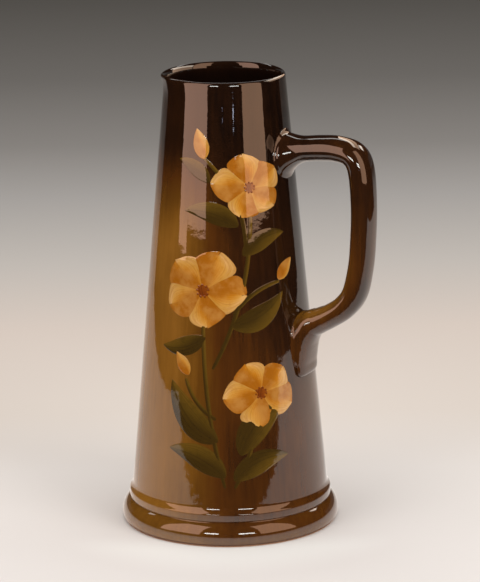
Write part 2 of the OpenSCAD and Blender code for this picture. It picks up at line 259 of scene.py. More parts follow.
class NodeSheet:
    """A tree of shader nodes, written one node at a time."""

    def __init__(self, tree: bpy.types.NodeTree) -> None:
        """Empties the tree."""
        self.tree = tree
        self.tree.nodes.clear()

    def add(self, kind: str, inputs: dict | None = None, **settings: object) -> bpy.types.Node:
        """Adds a node, sets it up and wires it.

        Args:
            kind: The node's type, without its ShaderNode prefix.
            inputs: For each input, by name or number, its value or the output that feeds it.
            settings: Values of the node's own settings.

        Returns:
            The new node.
        """
        node = self.tree.nodes.new("ShaderNode" + kind)
        for key, value in settings.items():
            setattr(node, key, value)
        for key, value in (inputs or {}).items():
            if isinstance(value, bpy.types.NodeSocket):
                self.tree.links.new(value, node.inputs[key])
            else:
                node.inputs[key].default_value = value
        return node

    def math(self, operation: str, *values: object, clamp: bool = False) -> bpy.types.NodeSocket:
        """Works one to three values out and gives the result."""
        node = self.add("Math", dict(enumerate(values)), operation=operation, use_clamp=clamp)
        return node.outputs[0]

    def mix(self, share: object, first: object, second: object, blend: str = "MIX",
            ) -> bpy.types.NodeSocket:
        """Mixes a share of the second colour into the first, in a way that blend names."""
        node = self.add("Mix", {0: share, 6: first, 7: second}, data_type="RGBA", blend_type=blend)
        return node.outputs[2]

    def ramp(self, share: object, stops: Stops) -> bpy.types.NodeSocket:
        """Runs through colours.

        Args:
            share: Where along the run to read it, from 0 to 1.
            stops: Places along the run, each with its colour.

        Returns:
            The colour read there.
        """
        node = self.add("ValToRGB", {"Fac": share})
        stretch = node.color_ramp.elements
        while len(stretch) < len(stops):
            stretch.new(0.5)
        for element, (place, colour) in zip(stretch, stops):
            element.position = place
            element.color = (*colour, 1.0)
        return node.outputs["Color"]

    def rise(self, value: object, low: float, high: float) -> bpy.types.NodeSocket:
        """Rises softly from 0 at low to 1 at high."""
        limits = {"Value": value, "From Min": low, "From Max": high}
        return self.add("MapRange", limits, interpolation_type="SMOOTHSTEP").outputs["Result"]

    def swing(self, value: object, share: float) -> bpy.types.NodeSocket:
        """Turns a value from 0 to 1 into a shift from -share to share."""
        return self.math("MULTIPLY_ADD", value, 2.0 * share, -share)

    def along(self, spot: object, way: Row) -> bpy.types.NodeSocket:
        """How far a place lies along a direction."""
        return self.add("VectorMath", {0: spot, 1: way}, operation="DOT_PRODUCT").outputs["Value"]

    def wash(self, colour: object, over: Row, value: object, limits: Row, share: float,
             ) -> bpy.types.NodeSocket:
        """Lays a share of a second colour over one as a value rises from low to high limit."""
        cover = self.math("MULTIPLY", self.rise(value, *limits), share)
        return self.mix(cover, colour, (*over, 1.0))

    def noise(self, vector: object, scale: float, detail: float = 3.0, rough: float = 0.5,
              ) -> bpy.types.NodeSocket:
        """Noise from 0 to 1: scale clouds in each unit, and detail finer layers of strength rough."""
        values = {"Vector": vector, "Scale": scale, "Detail": detail, "Roughness": rough}
        return self.add("TexNoise", values).outputs["Fac"]

    def place(self, stretch: Row = (1.0, 1.0, 1.0)) -> bpy.types.NodeSocket:
        """The point's place on the object, stretched along the three axes."""
        spot = self.add("TexCoord").outputs["Object"]
        return self.add("Mapping", {"Vector": spot, "Scale": stretch}).outputs["Vector"]

    def tone(self, name: str) -> bpy.types.NodeSocket:
        """A named value that the piece's own points carry."""
        return self.add("Attribute", attribute_name=name).outputs["Fac"]


def new_material(name: str) -> tuple[bpy.types.Material, NodeSheet]:
    """Makes an empty material.

    Args:
        name: Its name.

    Returns:
        The material, and the sheet that its nodes are written on.
    """
    material = bpy.data.materials.new(name)
    material.use_nodes = True
    return material, NodeSheet(material.node_tree)


def dress(piece: bpy.types.Object, material: bpy.types.Material) -> None:
    """Gives a piece one material in place of those that it has."""
    piece.data.materials.clear()
    piece.data.materials.append(material)


@dataclass(frozen=True)
class Gloss:
    """A glassy glaze surface: nearly smooth, with long soft waves and a fine pebble."""

    roughness: float = 0.03
    ior: float = 1.60
    wave_size: float = 9 * MM
    wave_depth: float = 0.055 * MM
    pebble_size: float = 2.0 * MM
    pebble_depth: float = 0.010 * MM

    def close(self, sheet: NodeSheet, colour: object) -> None:
        """Adds the shader and the output under a colour.

        Args:
            sheet: Sheet of the material.
            colour: The colour seen through the glaze.
        """
        spot = sheet.place()
        wave = sheet.noise(spot, 1.0 / self.wave_size, detail=1.0)
        pebble = sheet.noise(spot, 1.0 / self.pebble_size, detail=2.0)
        low = sheet.add("Bump", {"Strength": 1.0, "Distance": self.wave_depth, "Height": wave})
        high = sheet.add("Bump", {
            "Strength": 1.0, "Distance": self.pebble_depth, "Height": pebble,
            "Normal": low.outputs["Normal"]})
        shader = sheet.add("BsdfPrincipled", {
            "Base Color": colour, "Roughness": self.roughness, "IOR": self.ior,
            "Normal": high.outputs["Normal"]})
        sheet.add("OutputMaterial", {"Surface": shader.outputs["BSDF"]})


@dataclass(frozen=True)
class ShadedGlaze:
    """Amber-brown glaze over a shaded ground that its piece carries as the tone called ground.

    The ground runs from near black through mahogany and brown to golden olive. Upright streaks
    and faint clouds shift it, as slip sprayed in passes does.
    """

    name: str
    streak: Row = (330.0, 330.0, 12.0)
    streak_share: float = 0.15
    cloud_size: float = 30 * MM
    cloud_share: float = 0.12
    gloss: Gloss = field(default_factory=Gloss)
    stops: Stops = (
        (0.00, (0.006, 0.0026, 0.0016)),
        (0.20, (0.022, 0.0075, 0.0026)),
        (0.42, (0.066, 0.0205, 0.0034)),
        (0.62, (0.098, 0.037, 0.0048)),
        (0.80, (0.150, 0.060, 0.0075)),
        (1.00, (0.218, 0.090, 0.0125)),
    )

    def material(self) -> bpy.types.Material:
        """Makes the material.

        Returns:
            The new material.
        """
        material, sheet = new_material(self.name)
        streak = sheet.noise(sheet.place(self.streak), 1.0, detail=4.0, rough=0.6)
        cloud = sheet.noise(sheet.place(), 1.0 / self.cloud_size, detail=2.0)
        ground = sheet.math("ADD", sheet.tone("ground"), sheet.swing(streak, self.streak_share))
        ground = sheet.math("ADD", ground, sheet.swing(cloud, self.cloud_share), clamp=True)
        self.gloss.close(sheet, sheet.ramp(ground, self.stops))
        return material


@dataclass(frozen=True)
class SlipPaint:
    """Coloured slip laid on in strokes under the clear glaze.

    The flat coordinates of the piece run across a stroke from -1 to 1 and along it from 0 at its
    root to 1 at its tip. Its tone called stroke is a value of its own for each stroke. Limits say
    where a colour laid over starts to cover and where it covers in full.
    """

    name: str
    stops: Stops
    fold: Row
    edge: Row
    bristle: float = 8.0
    bristle_share: float = 0.55
    seed_spread: float = 37.0
    wash_scale: float = 0.45
    fold_limits: Row = (0.50, 0.72)
    fold_share: float = 0.6
    stroke_share: float = 0.30
    tint: Row = (0.0, 0.0, 0.0)
    tint_limits: Row = (0.30, 0.90)
    tint_share: float = 0.0
    dab: Row = (0.0, 0.0, 0.0)
    dab_limits: Row = (0.40, 0.72)
    dab_share: float = 0.0
    dab_size: float = 8 * MM
    mottle_size: float = 3.2 * MM
    mottle_limits: Row = (0.48, 0.74)
    mottle_share: float = 0.35
    edge_limits: Row = (0.80, 1.0)
    edge_share: float = 0.35
    gloss: Gloss = field(default_factory=Gloss)

    def material(self) -> bpy.types.Material:
        """Makes the material.

        Returns:
            The new material.
        """
        material, sheet = new_material(self.name)
        flat = sheet.add("UVMap", uv_map="stroke").outputs["UV"]
        parts = sheet.add("SeparateXYZ", {"Vector": flat})
        across, along = parts.outputs["X"], parts.outputs["Y"]
        own = sheet.tone("stroke")
        brush = sheet.add("CombineXYZ", {
            "X": sheet.math("MULTIPLY", across, self.bristle), "Y": along,
            "Z": sheet.math("MULTIPLY", own, self.seed_spread)}).outputs["Vector"]
        bristles = sheet.noise(brush, 1.0, detail=4.0, rough=0.65)
        washes = sheet.noise(brush, self.wash_scale, detail=2.0)
        mottle = sheet.noise(sheet.place(), 1.0 / self.mottle_size, detail=4.0, rough=0.65)
        dabs = sheet.noise(sheet.place(), 1.0 / self.dab_size, detail=3.0, rough=0.55)
        place = sheet.math("ADD", along, sheet.swing(bristles, self.bristle_share))
        place = sheet.math("ADD", place, sheet.swing(own, self.stroke_share), clamp=True)
        colour = sheet.ramp(place, self.stops)
        for over, value, limits, share in (
            (self.tint, own, self.tint_limits, self.tint_share),
            (self.fold, washes, self.fold_limits, self.fold_share),
            (self.fold, mottle, self.mottle_limits, self.mottle_share),
            (self.dab, dabs, self.dab_limits, self.dab_share),
            (self.edge, sheet.math("ABSOLUTE", across), self.edge_limits, self.edge_share),
        ):
            colour = sheet.wash(colour, over, value, limits, share)
        self.gloss.close(sheet, colour)
        return material


@dataclass(frozen=True)
class BareClay:
    """Unglazed earthenware: buff, speckled and matt, and dark brown from a millimetre up."""

    name: str = "bare_clay"
    buff: Row = (0.30, 0.135, 0.060)
    sand: Row = (0.39, 0.21, 0.11)
    band_brown: Row = (0.070, 0.026, 0.011)
    band_low_z: float = 0.1 * MM
    band_high_z: float = 1.1 * MM
    roughness: float = 0.72
    speck_size: float = 1.1 * MM
    speck_limits: Row = (0.40, 0.66)
    tooth_depth: float = 0.05 * MM

    def material(self) -> bpy.types.Material:
        """Makes the material.

        Returns:
            The new material.
        """
        material, sheet = new_material(self.name)
        spot = sheet.place()
        specks = sheet.noise(spot, 1.0 / self.speck_size, detail=4.0, rough=0.7)
        sandy = sheet.rise(specks, *self.speck_limits)
        colour = sheet.mix(sandy, (*self.buff, 1.0), (*self.sand, 1.0))
        height = sheet.add("SeparateXYZ", {"Vector": spot}).outputs["Z"]
        banded = sheet.rise(height, self.band_low_z, self.band_high_z)
        colour = sheet.mix(banded, colour, (*self.band_brown, 1.0))
        bump = sheet.add("Bump", {"Distance": self.tooth_depth, "Height": specks})
        shader = sheet.add("BsdfPrincipled", {
            "Base Color": colour, "Roughness": self.roughness, "Normal": bump.outputs["Normal"]})
        sheet.add("OutputMaterial", {"Surface": shader.outputs["BSDF"]})
        return material


@dataclass(frozen=True)
class ThrownForm:
    """Sizes of the thrown jug: its outline, foot, rim and pulled lip."""

    height: float = 254 * MM
    crest_d: float = 63.4 * MM
    rim_round_r: float = 1.6 * MM
    wall_low_d: float = 110 * MM
    wall_low_t: float = 5.2 * MM
    floor_t: float = 7 * MM
    inner_round_r: float = 9 * MM
    roll_stand: float = 5.8 * MM
    roll_r: float = 10 * MM
    roll_z: float = 4.4 * MM
    groove_z: float = 12.8 * MM
    bead_stand: float = 1.7 * MM
    bead_round_r: float = 1.2 * MM
    bead_face_h: float = 3.2 * MM
    cove_r: float = 6 * MM
    recess_d: float = 92 * MM
    recess_h: float = 1.5 * MM
    bare_h: float = 1.6 * MM
    glaze_t: float = 0.4 * MM
    lip_reach: float = 2.7 * MM
    lip_fall: float = 14 * MM
    lip_power: float = 2.4
    lip_half_turn: float = 62.0
    lip_tip_turn: float = 5.0
    lip_turn: float = 213.0
    bead_start_turn: float = -70.0
    rim_inner_h: float = 5 * MM
    rim_fall_turn: float = 176.0
    tuck: float = 0.05 * MM

    @staticmethod
    def tangent_turn(point: Array, centre: Array, radius: float, side: int) -> float:
        """Direction in which a line from a point touches a circle.

        Args:
            point: Where the line starts.
            centre: Middle of the circle.
            radius: Its radius.
            side: 1 or -1, for the side on which the line touches it.

        Returns:
            The direction, in degrees.
        """
        gap = centre - point
        return math.degrees(
            math.atan2(gap[1], gap[0]) + side * math.asin(radius / np.linalg.norm(gap)))

    @property
    def rim_c(self) -> Array:
        """Middle of the round of the rim."""
        return np.array([self.crest_d / 2, self.height - self.rim_round_r])

    @property
    def bead_top_z(self) -> float:
        """Height where the wall rises from the bead."""
        return self.groove_z + 2 * self.bead_round_r + self.bead_face_h

    @property
    def wall_turn(self) -> float:
        """Direction of the outer line of the wall, in degrees."""
        foot = np.array([self.wall_low_d / 2, self.bead_top_z])
        return self.tangent_turn(foot, self.rim_c, self.rim_round_r, -1)

    @property
    def bore_foot(self) -> Array:
        """Where the inner line of the wall starts."""
        return np.array([self.wall_low_d / 2 - self.wall_low_t, self.bead_top_z])

    @property
    def bore_turn(self) -> float:
        """Direction of the inner line of the wall, in degrees."""
        return self.tangent_turn(self.bore_foot, self.rim_c, self.rim_round_r, 1)

    @property
    def wall_out(self) -> Array:
        """Outward direction of the wall in the outline's plane."""
        turn = math.radians(self.wall_turn)
        return np.array([math.sin(turn), -math.cos(turn)])

    def wall_r(self, z: Array) -> Array:
        """Radius of the glazed wall at a height, on its straight outer line."""
        out = self.wall_out
        return self.wall_low_d / 2 - (z - self.bead_top_z) * out[1] / out[0]

    def lip_bump(self, turn: Array, z: Array) -> Array:
        """How far the lip pulls the wall out.

        It is the reach, times a power of how near the turn is to the lip's tip, times the same
        power of how near the height is to the crest. The tip itself is rounded.

        Args:
            turn: Turns round the axis.
            z: Heights.

        Returns:
            A length for each turn and height.
        """
        off = off_turn(np.degrees(turn), self.lip_turn)
        away = np.hypot(off, self.lip_tip_turn) - self.lip_tip_turn
        side = np.clip(1.0 - away / self.lip_half_turn, 0.0, 1.0)
        rise = np.clip(1.0 - (self.height - z) / self.lip_fall, 0.0, 1.0)
        return self.lip_reach * (side * rise) ** self.lip_power

    def outer_line(self, depth: float, start_z: float) -> Array:
        """Outline of the outside, from a height on the roll of the foot up to the crest.

        Args:
            depth: How deep under the glazed surface it runs.
            start_z: Height at which it starts.

        Returns:
            Points as distance from the axis and height.
        """
        depth = depth + self.tuck
        roll_c = np.array([self.wall_low_d / 2 + self.roll_stand - self.roll_r, self.roll_z])
        roll_r = self.roll_r - depth
        bead_r = self.wall_low_d / 2 + self.bead_stand - self.bead_round_r
        low_c = np.array([bead_r, self.groove_z + self.bead_round_r])
        high_c = np.array([bead_r, self.bead_top_z - self.bead_round_r])
        foot = np.array([self.wall_low_d / 2, self.bead_top_z])
        reach = self.cove_r + self.bead_round_r
        cove_gap = self.cove_r - (high_c - foot) @ self.wall_out
        cove_turn = self.wall_turn - 90.0 + math.degrees(math.acos(cove_gap / reach))
        cove_c = arc(high_c, reach, cove_turn, cove_turn, 1)[0]
        start = math.degrees(math.asin((start_z - self.roll_z) / roll_r))
        groove = math.degrees(math.asin((self.groove_z - self.roll_z) / roll_r))
        return np.concatenate([
            arc(roll_c, roll_r, start, groove),
            arc(low_c, self.bead_round_r - depth, self.bead_start_turn, 0.0),
            arc(high_c, self.bead_round_r - depth, 0.0, cove_turn),
            arc(cove_c, self.cove_r + depth, cove_turn + 180.0, self.wall_turn + 90.0),
            arc(self.rim_c, self.rim_round_r - depth, self.wall_turn - 90.0, 90.0)])

    def hollow_line(self, depth: float) -> Array:
        """Outline of the hollow, from the crest down to the middle of the floor inside.

        The crest falls into the hollow along a quarter of an oval, taller than it is wide.

        Args:
            depth: How deep under the glazed surface it runs.

        Returns:
            Points as distance from the axis and height.
        """
        depth = depth + self.tuck
        turn = math.radians(self.bore_turn)
        out = np.array([math.sin(turn), -math.cos(turn)])
        corner_z = self.floor_t + self.inner_round_r
        bore_r = self.bore_foot[0] - (corner_z - self.bore_foot[1]) * out[1] / out[0]
        corner_c = np.array([bore_r - self.inner_round_r / out[0], corner_z])
        fall = arc(np.zeros(2), 1.0, 90.0, self.rim_fall_turn)
        size = np.array([self.rim_round_r - depth, self.rim_inner_h - depth])
        crest = np.array([self.crest_d / 2, self.height - self.rim_inner_h]) + fall * size
        return np.concatenate([
            crest,
            arc(corner_c, self.inner_round_r + depth, self.bore_turn - 90.0, -90.0),
            [[0.0, self.floor_t - depth]]])


@dataclass(frozen=True)
class WallGround:
    """Shades of the ground under the wall's glaze, from 0, near black, to 1, golden olive.

    Each side holds the turn of its middle from the spray's, and how far from it its shade starts
    and ends fading, in degrees. Limits of up are shares of the jug's height.
    """

    gold_side: Row = (-80.0, 32.0, 86.0)
    gold: float = 0.98
    brown: float = 0.38
    gloom_side: Row = (75.0, 20.0, 95.0)
    gloom_up: Row = (0.20, 0.50)
    gloom_depth: float = 0.16
    fade_up: Row = (0.30, 0.68)
    fade_depth: float = 0.12
    hollow_turn: float = 8.0
    hollow_width: float = 26.0
    hollow_up: Row = (0.16, 0.34)
    hollow_depth: float = 0.07
    dark_up: Row = (0.645, 0.90)
    dark_wave: float = 0.02
    waves: float = 5.0
    top: float = 0.05
    top_gold: float = 0.08
    groove_z: Row = (12 * MM, 15 * MM)
    groove_gain: float = 0.05
    groove_gold_loss: float = 0.27
    # Painted reflection: how high up the roll, and by how much, the ground is lightened in place of
    # the bright paper it mirrors.
    painted_light_foot_z: Row = (2 * MM, 7 * MM)
    painted_light_foot_gain: float = 0.20

    @staticmethod
    def beside(turn: Array, side: Row) -> Array:
        """1 at a side's middle, falling softly to 0 with the turn away from it."""
        return 1.0 - smooth_step(np.abs(off_turn(turn, side[0])), side[1], side[2])

    def shade(self, rings: Array, height: float) -> Array:
        """Shade at each point of a skin.

        It is golden to the left of the painted spray from the shoulder down, brown before the
        spray, mahogany low in the middle, and dark under the rim and towards the handle. At the
        very bottom of the roll it is lighter, a painted reflection of the bright paper there.

        Args:
            rings: The skin's points.
            height: The jug's height.

        Returns:
            One value for each point.
        """
        x, y, z = np.moveaxis(rings, -1, 0)
        turn = np.degrees(np.arctan2(y, x)) - SPRAY_TURN
        up = z / height
        gold = self.beside(turn, self.gold_side)
        gloom = self.beside(turn, self.gloom_side) * smooth_step(up, *self.gloom_up)
        brown = self.brown - self.gloom_depth * gloom
        brown = brown - self.fade_depth * smooth_step(up, *self.fade_up)
        shade = brown + (self.gold - brown) * gold
        middle = np.exp(-((turn - self.hollow_turn) / self.hollow_width) ** 2)
        shade = shade - self.hollow_depth * middle * (1.0 - smooth_step(up, *self.hollow_up))
        wave = self.dark_wave * np.sin(np.radians(self.waves * turn))
        dark = smooth_step(up + wave, *self.dark_up)
        shade = shade * (1.0 - dark) + (self.top + self.top_gold * gold) * dark
        gain = self.groove_gain - self.groove_gold_loss * gold
        shade = shade + gain * (1.0 - smooth_step(z, *self.groove_z))
        # Painted reflection: lighter ground low on the roll, standing in for the bright paper it
        # mirrors.
        shade = shade + self.painted_light_foot_gain * (1.0 - smooth_step(z, *self.painted_light_foot_z))
        return np.clip(shade, 0.0, 1.0)


@dataclass
class ThrownJug:
    """The thrown jug in three skins: its clay, the glaze outside and the glaze inside."""

    form: ThrownForm
    ground: WallGround = field(default_factory=WallGround)
    sides: int = 216
    fine: float = 0.42 * MM
    floor_step: float = 1.5 * MM
    coarse: float = 3.2 * MM
    foot_h: float = 26 * MM
    rim_h: float = 5 * MM
    blend_h: float = 8 * MM
    blur_step: float = 0.1 * MM
    blur: float = 0.32 * MM
    axis_gap: float = 0.4 * MM
    lining: Row = (0.02, 0.05)

    def rows(self, line: Array, low: float) -> Array:
        """Softens an outline and thins it, close at the foot and rim and wide along the wall.

        Args:
            line: The outline.
            low: Distance between its points near the foot.

        Returns:
            The outline's points that become rings.
        """
        line = soften(line, self.blur_step, self.blur)
        steps = np.linalg.norm(np.diff(line, axis=0), axis=1)
        middle = (line[1:, 1] + line[:-1, 1]) / 2
        rim_z = self.form.height - self.rim_h
        near_foot = 1.0 - smooth_step(middle, self.foot_h, self.foot_h + self.blend_h)
        near_rim = smooth_step(middle, rim_z - self.blend_h, rim_z)
        spacing = self.coarse + np.minimum(
            (low - self.coarse) * near_foot, (self.fine - self.coarse) * near_rim)
        count = np.concatenate([[0.0], np.cumsum(steps / spacing)])
        return resample(line, count, round(count[-1]))

    def carried(self, line: Array) -> Array:
        """Carries an outline round the axis: at each turn its radius grows by the lip's pull.

        Args:
            line: Outline of distances from the axis and heights.

        Returns:
            One skin of rings, as an array of 1, rings, sides and 3.
        """
        turn = np.linspace(-math.pi, math.pi, self.sides, endpoint=False)[None, :]
        radius, z = line[:, :1], line[:, 1:]
        pull = self.form.lip_bump(turn, z) * smooth_step(radius, 0.0, self.form.crest_d / 3)
        radius = radius + pull
        return np.stack(
            [radius * np.cos(turn), radius * np.sin(turn), z + 0.0 * turn], axis=-1)[None]

    def clay(self) -> bpy.types.Object:
        """The clay itself, one closed skin from under the foot over the rim to the floor inside.

        Returns:
            The new object.
        """
        form = self.form
        recess = np.array([[form.recess_d / 2, form.recess_h], [form.recess_d / 2, 0.0]])
        under = np.concatenate([[[self.axis_gap, form.recess_h]], recess])
        outer = self.rows(form.outer_line(form.glaze_t, 0.0), self.fine)
        inner = self.rows(form.hollow_line(form.glaze_t), self.floor_step)[1:]
        inner[-1, 0] = self.axis_gap
        rings = self.carried(np.concatenate([under, outer, inner]))
        return ring_piece("clay_body", rings, Ends.POLES)

    def outside(self) -> bpy.types.Object:
        """The glaze outside, a skin with its thickness from the bare foot to the crest.

        Returns:
            The new object.
        """
        line = self.form.outer_line(0.0, self.form.bare_h)
        back = self.form.outer_line(self.form.glaze_t, self.form.bare_h)
        rings = self.carried(np.concatenate([
            self.rows(line, self.fine), self.rows(back, self.fine)[::-1]]))
        ground = self.ground.shade(rings, self.form.height)
        return ring_piece("glaze_outside", rings, Ends.WRAP, tones={"ground": ground})

    def inside(self) -> bpy.types.Object:
        """The glaze inside, a skin with its thickness from the crest to the floor's middle.

        Returns:
            The new object.
        """
        line = self.rows(self.form.hollow_line(0.0), self.floor_step)
        back = self.rows(self.form.hollow_line(self.form.glaze_t), self.floor_step)
        line[-1, 0] = back[-1, 0] = self.axis_gap
        rings = self.carried(np.concatenate([line[::-1], back]))
        top_z = self.form.height
        near_crest = smooth_step(rings[..., 2], top_z - self.blend_h, top_z)
        ground = self.lining[0] + self.lining[1] * near_crest
        return ring_piece("glaze_inside", rings, Ends.POLES, tones={"ground": ground})


@dataclass
class LoopHandle:
    """The pulled strap, bent to a squared loop, as one glazed skin with its luting.

    Each station holds shares: of the way from the wall out to the grip, of the height from the
    tail's tip up to the upper arm, of the strap's width, and of its thickness. Places along the
    handle are counted in stations. A swell or fillet goes to the side, into the loop and out.
    """

    form: ThrownForm
    grip_r: float = 82.7 * MM
    drop: float = 37.4 * MM
    low_z: float = 87.5 * MM
    width: float = 19.5 * MM
    thickness: float = 13 * MM
    luting_len: float = 13 * MM
    upper_swell: Row = (2.9 * MM, 8 * MM, 2.5 * MM)
    lower_swell: Row = (1.8 * MM, 3.6 * MM, 1 * MM)
    upper_fillet: Row = (2.2 * MM, 1.0 * MM, 1.4 * MM)
    lower_fillet: Row = (2.0 * MM, 1.0 * MM, 2.6 * MM)
    tail_fillet: float = 0.8 * MM
    fillet_stretch: float = 1.3
    fillet_sink: float = 0.15 * MM
    squareness: float = 2.35
    arm_squareness: float = 2.08
    arm_end: Row = (3.6, 5.6)
    taper: float = 0.065
    least_half: float = 0.1 * MM
    tail_fade: float = 1.7
    tail_reach: Row = (4.0, 2.0)
    arm_shade: float = 0.17
    lower_shades: tuple[Row, ...] = ((5.0, 8.0, 0.08), (11.0, 15.0, 0.08))
    gold_places: Row = (6.5, 10.0)
    gold_end: Row = (13.0, 15.0, 0.9)
    gold_depth: float = 0.88
    gold_power: float = 2.7
    cloud_depth: float = 0.03
    clouds: float = 1.7
    steps: int = 11
    sides: int = 56
    stations: tuple[Row, ...] = (
        (-0.060, 0.977, 1.00, 1.06), (0.040, 0.980, 1.00, 1.06), (0.180, 0.984, 1.00, 1.06),
        (0.465, 0.995, 1.00, 1.07), (0.674, 0.996, 1.00, 1.07), (0.865, 0.976, 1.00, 1.04),
        (0.958, 0.912, 1.00, 1.00), (0.992, 0.758, 1.00, 0.97), (0.978, 0.603, 1.00, 0.97),
        (0.942, 0.490, 1.00, 0.98), (0.850, 0.378, 1.00, 1.02), (0.680, 0.312, 1.00, 1.03),
        (0.458, 0.268, 1.02, 1.03), (0.280, 0.242, 1.08, 1.08), (0.125, 0.214, 1.20, 1.04),
        (0.018, 0.146, 1.26, 0.76), (0.000, 0.066, 1.28, 0.46), (-0.006, 0.018, 1.22, 0.36),
        (-0.022, 0.003, 1.02, 0.20),
    )

    def line(self) -> tuple[Array, Array]:
        """Places along the middle line, counted in stations, and the line's values there.

        Returns:
            The places, and for each its distance from the axis, height, width and thickness.
        """
        share = np.array(self.stations)
        top_z = self.form.height - self.drop
        z = self.low_z + share[:, 1] * (top_z - self.low_z)
        wall = self.form.wall_r(z)
        rows = np.stack([
            wall + share[:, 0] * (self.grip_r - wall), z,
            self.width * share[:, 2], self.thickness * share[:, 3]], axis=1)
        places = np.linspace(0.0, len(share) - 1, (len(share) - 1) * self.steps + 1)
        return places, through(rows, places)

    def swell(self, places: Array, line: Array) -> Array:
        """Swell of the luting clay to the side, into the loop and out of it at each ring.

        It is all there at the wall and gone its own length away, falling as a square.

        Args:
            places: Places of the rings, counted in stations.
            line: The middle line's values there.

        Returns:
            Three lengths for each ring.
        """
        gap = np.clip(line[:, 0] - self.form.wall_r(line[:, 1]), 0.0, self.luting_len)
        left = ((1.0 - gap / self.luting_len) ** 2)[:, None]
        last = len(self.stations) - 1
        fade = np.clip(last - self.tail_fade - places, 0.0, 1.0)[:, None]
        upper = (places < last / 2)[:, None]
        return left * np.where(upper, np.array(self.upper_swell), fade * np.array(self.lower_swell))

    def fillet(self, places: Array, turn: Array) -> Array:
        """Size of the hollow where the glaze runs from the handle into the wall.

        It goes from its value out of the loop to that at the side and that into the loop by the
        squared cosine of the turn round the strap.

        Args:
            places: Places of the rings, counted in stations.
            turn: Turns round the section.

        Returns:
            A size for each ring and turn.
        """
        last = len(self.stations) - 1
        outer = np.maximum(np.cos(turn), 0.0) ** 2
        inner = np.minimum(np.cos(turn), 0.0) ** 2
        shares = np.stack([outer, 1.0 - outer - inner, inner])
        upper, lower = (np.tensordot(np.array(radii), shares, 1)
                        for radii in (self.upper_fillet, self.lower_fillet))
        at_tail = smooth_step(places, last - self.tail_reach[0], last - self.tail_reach[1])[:, None]
        lower = lower + (self.tail_fillet - lower) * at_tail
        return np.where(places[:, None] < last / 2, upper, lower)

    def skin(self, depth: float) -> Array:
        """Rings of the handle, a depth under its surface.

        A ring is an oval square to the middle line, a little narrower on its outer side and rounder
        along the upper arm. Near the wall its points move out by the fillet's size, which falls to
        nothing as a cube over its stretched length.

        Args:
            depth: The depth.

        Returns:
            Rings, points and 3.
        """
        places, line = self.line()
        ahead = np.gradient(line[:, :2], axis=0)
        ahead /= np.linalg.norm(ahead, axis=1)[:, None]
        out = np.stack([-ahead[:, 1], ahead[:, 0]], axis=1)
        side, inner, outer = self.swell(places, line).T
        half_w = np.maximum(line[:, 2] / 2 - depth, self.least_half) + side
        half_t = np.maximum(line[:, 3] / 2 - depth, self.least_half) + (inner + outer) / 2
        middle = line[:, :2] + ((outer - inner) / 2)[:, None] * out
        turn = np.linspace(0.0, 2.0 * math.pi, self.sides, endpoint=False)[None, :]
        at_grip = smooth_step(places, *self.arm_end)[:, None]
        power = 2.0 / (self.arm_squareness + (self.squareness - self.arm_squareness) * at_grip)
        rise = half_t[:, None] * np.sign(np.cos(turn)) * np.abs(np.cos(turn)) ** power
        wide = half_w[:, None] * np.sign(np.sin(turn)) * np.abs(np.sin(turn)) ** power
        wide = wide * (1.0 - self.taper * rise / half_t[:, None])
        reach = np.hypot(rise, wide)
        fillet = self.fillet(places, turn)
        x = middle[:, :1] + rise * out[:, :1]
        z = middle[:, 1:] + rise * out[:, 1:]
        gap = (np.hypot(x, wide) - self.form.wall_r(z)) * self.form.wall_out[0] + self.fillet_sink
        left = np.clip(1.0 - gap / (self.fillet_stretch * fillet), 0.0, 1.0)
        grown = 1.0 + fillet * left ** 3 / reach
        return np.stack([
            middle[:, :1] + grown * rise * out[:, :1], grown * wide,
            middle[:, 1:] + grown * rise * out[:, 1:]], axis=-1)

    def ground(self) -> Array:
        """Shade of the handle's ground: dark, and golden inside its lower half.

        Returns:
            One value for each point of the glaze's two sides, ring by ring.
        """
        places = self.line()[0]
        full = np.concatenate([places, places[::-1]])[:, None] * np.ones(self.sides)
        turn = np.linspace(0.0, 2.0 * math.pi, self.sides, endpoint=False)
        inward = 0.5 - 0.5 * np.cos(turn)
        start, end, loss = self.gold_end
        low = smooth_step(full, *self.gold_places) * (1.0 - loss * smooth_step(full, start, end))
        shade = self.arm_shade
        for start, end, gain in self.lower_shades:
            shade = shade + gain * smooth_step(full, start, end)
        shade = shade + self.gold_depth * low * inward ** self.gold_power
        return shade + self.cloud_depth * np.sin(self.clouds * full)

    def clay(self) -> bpy.types.Object:
        """The clay of the strap and of its luting, one closed skin under the glaze."""
        return ring_piece("clay_handle", self.skin(self.form.glaze_t)[None], Ends.POLES)

    def glaze(self) -> bpy.types.Object:
        """The handle's glaze, a sleeve with its thickness that runs into the wall."""
        rings = np.concatenate([self.skin(0.0), self.skin(self.form.glaze_t)[::-1]])[None]
        return ring_piece("glaze_handle", rings, Ends.WRAP, tones={"ground": self.ground()[None]})


